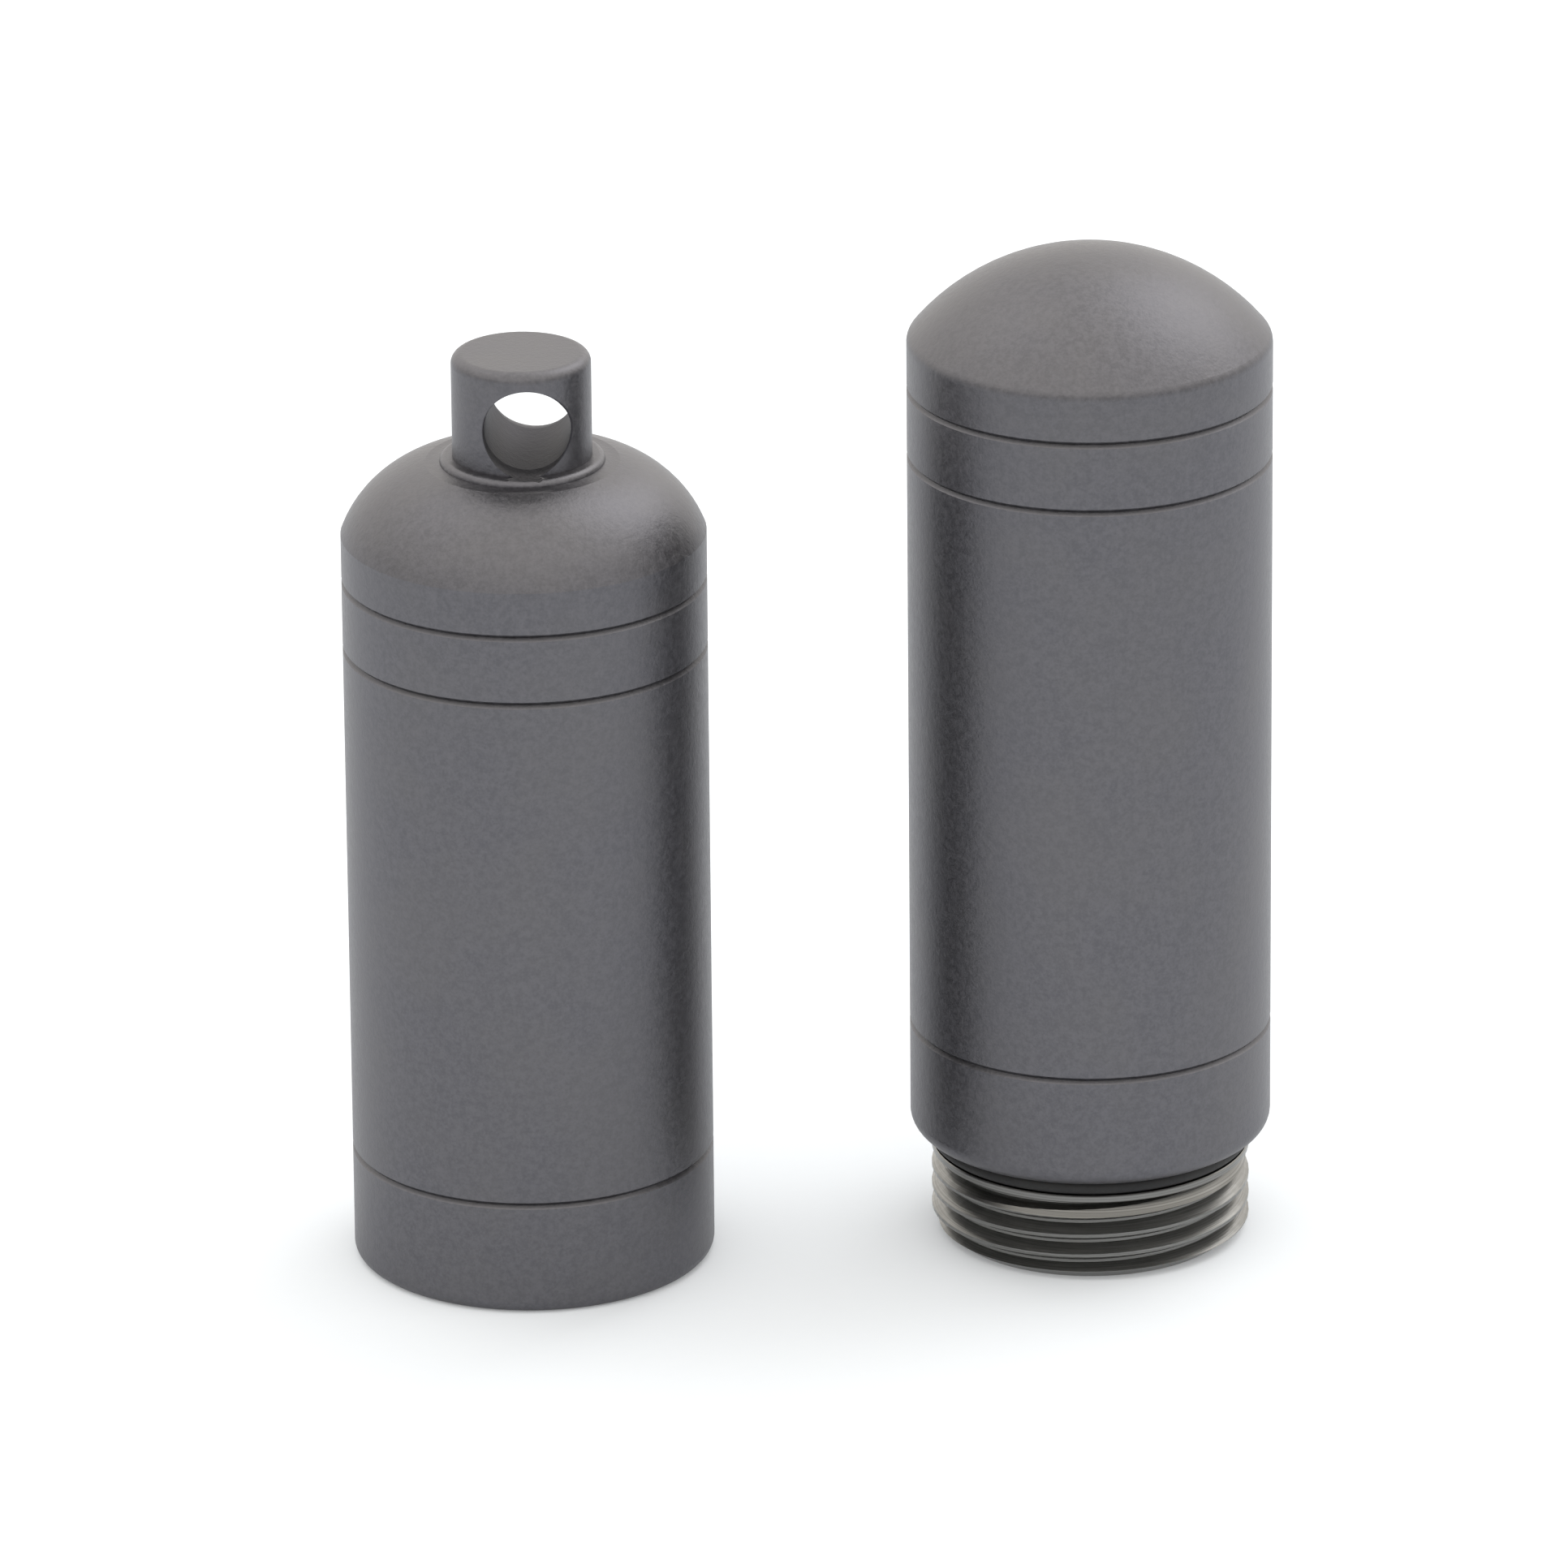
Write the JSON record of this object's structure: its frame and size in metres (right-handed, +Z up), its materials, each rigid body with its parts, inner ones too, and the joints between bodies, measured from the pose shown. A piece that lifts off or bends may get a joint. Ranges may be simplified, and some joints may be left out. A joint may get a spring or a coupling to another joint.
{
  "type": "pill fob",
  "caption": "Cylindrical screw-together pill holder for a key ring: a domed cap half with a drilled ring lug, and a threaded body half with a seal, unscrewed and standing on their open ends.",
  "frame": {"origin": "on the surface that both halves stand on, midway between their outer sides; the cap half is at -X and slightly towards -Y, the body half at +X and slightly towards +Y", "axes": "+Z up along both capsule axes, +Y along the ring hole, away from the viewer, +X from the cap half towards the body half"},
  "size_m": [0.0432, 0.0202, 0.0485],
  "materials": {
    "blasted_metal": "fine bead-blasted dark grey titanium, bare turned metal on the threads",
    "seal_rubber": "smooth black rubber"
  },
  "bodies": {
    "cap": {"cap_shell": "blasted_metal"},
    "seal": {"o_ring": "seal_rubber"},
    "body": {"body_shell": "blasted_metal"}
  },
  "joints": [
    {"name": "thread_travel", "type": "slide", "parent": "cap", "child": "seal", "axis": [0, 0, 1], "range_m": [0, 0.004]},
    {"name": "thread_turn", "type": "hinge", "parent": "seal", "child": "body", "pos_m": [0.0131, 0.0016, 0], "axis": [0, 0, 1], "range_deg": [0, 1440]}
  ],
  "couplings": [
    {"joint": "thread_turn", "follows": "thread_travel", "rad_per_m": 6283.2}
  ]
}
